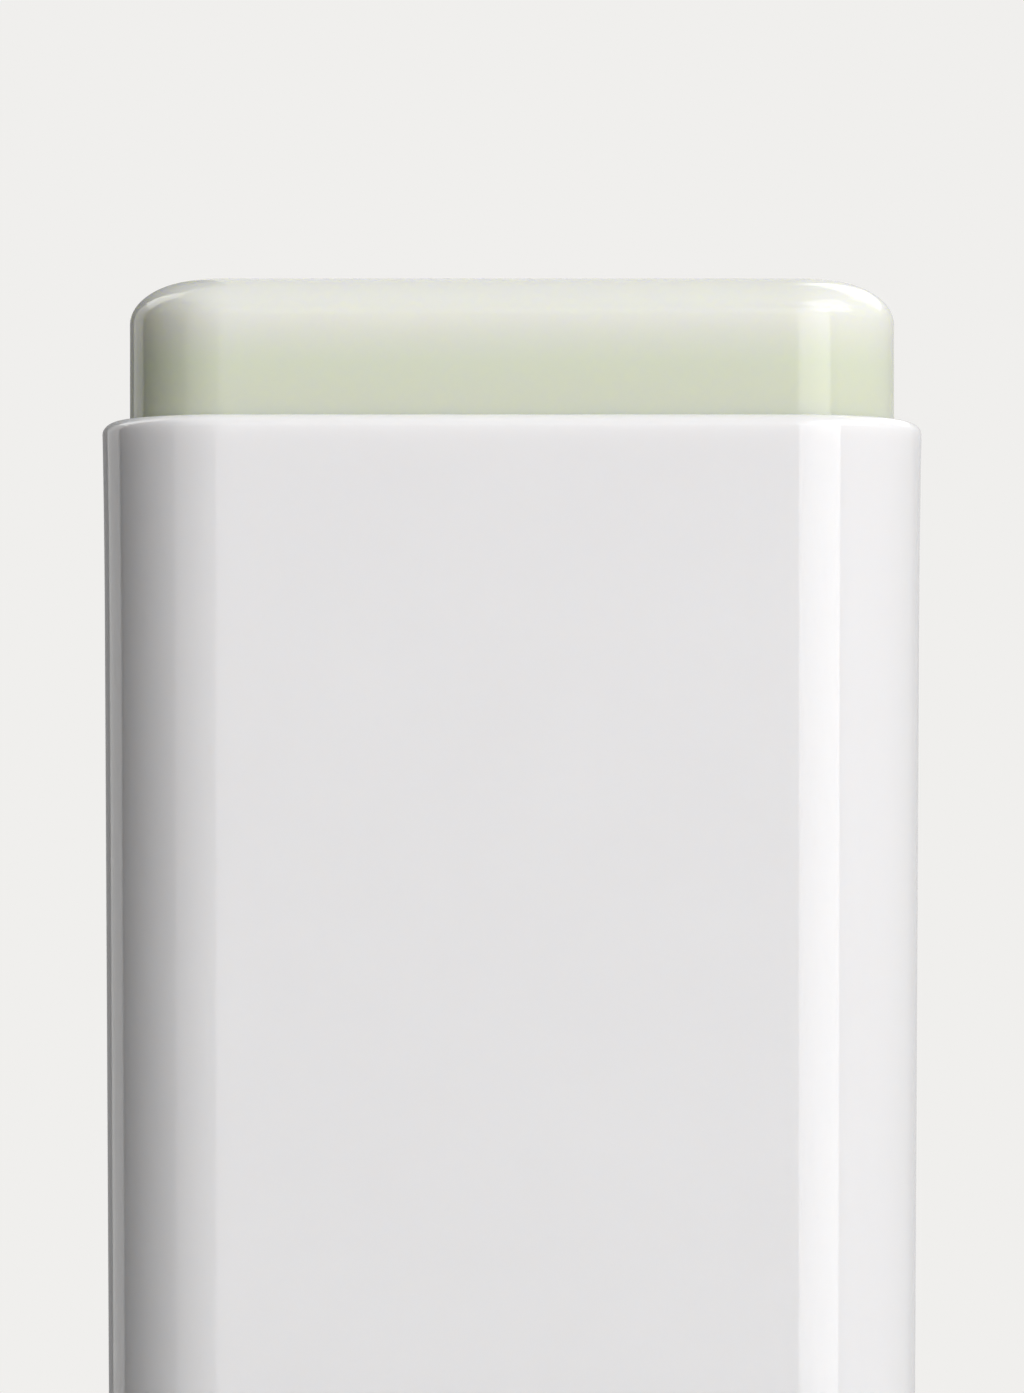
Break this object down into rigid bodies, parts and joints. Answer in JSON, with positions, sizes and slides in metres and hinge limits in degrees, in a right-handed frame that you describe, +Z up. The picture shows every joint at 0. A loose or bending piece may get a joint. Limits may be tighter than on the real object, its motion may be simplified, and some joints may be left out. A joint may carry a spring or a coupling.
{
  "type": "sunscreen stick",
  "caption": "Flat twist-up stick, open: a rounded case with a hand wheel in its base, a screw and a carrier that raises a pale green bar of balm out of the mouth.",
  "frame": {"origin": "centre of the standing edge, on the surface that the stick stands on", "axes": "+Z up out of the mouth, +X along the width, the front faces -Y"},
  "size_m": [0.042, 0.021, 0.0793],
  "materials": {
    "white_abs": "polished moulding",
    "natural_pom": "as moulded",
    "seal_rubber": "matt",
    "balm_wax": "cast wax balm, smooth and a little translucent"
  },
  "bodies": {
    "case": {"case": "white_abs"},
    "dial": {"dial": "white_abs", "lead_screw": "natural_pom", "o_ring": "seal_rubber"},
    "carrier": {"carrier": "natural_pom", "balm": "balm_wax"}
  },
  "joints": [
    {"name": "carrier_lift", "type": "slide", "parent": "case", "child": "carrier", "axis": [0, 0, 1], "range_m": [-0.0093, 0.0367]},
    {"name": "dial_turn", "type": "hinge", "parent": "case", "child": "dial", "pos_m": [0, 0, 0.0038], "axis": [0, 0, 1], "range_deg": [-840, 3306]}
  ],
  "couplings": [
    {"joint": "dial_turn", "follows": "carrier_lift", "rad_per_m": 1570.8}
  ]
}
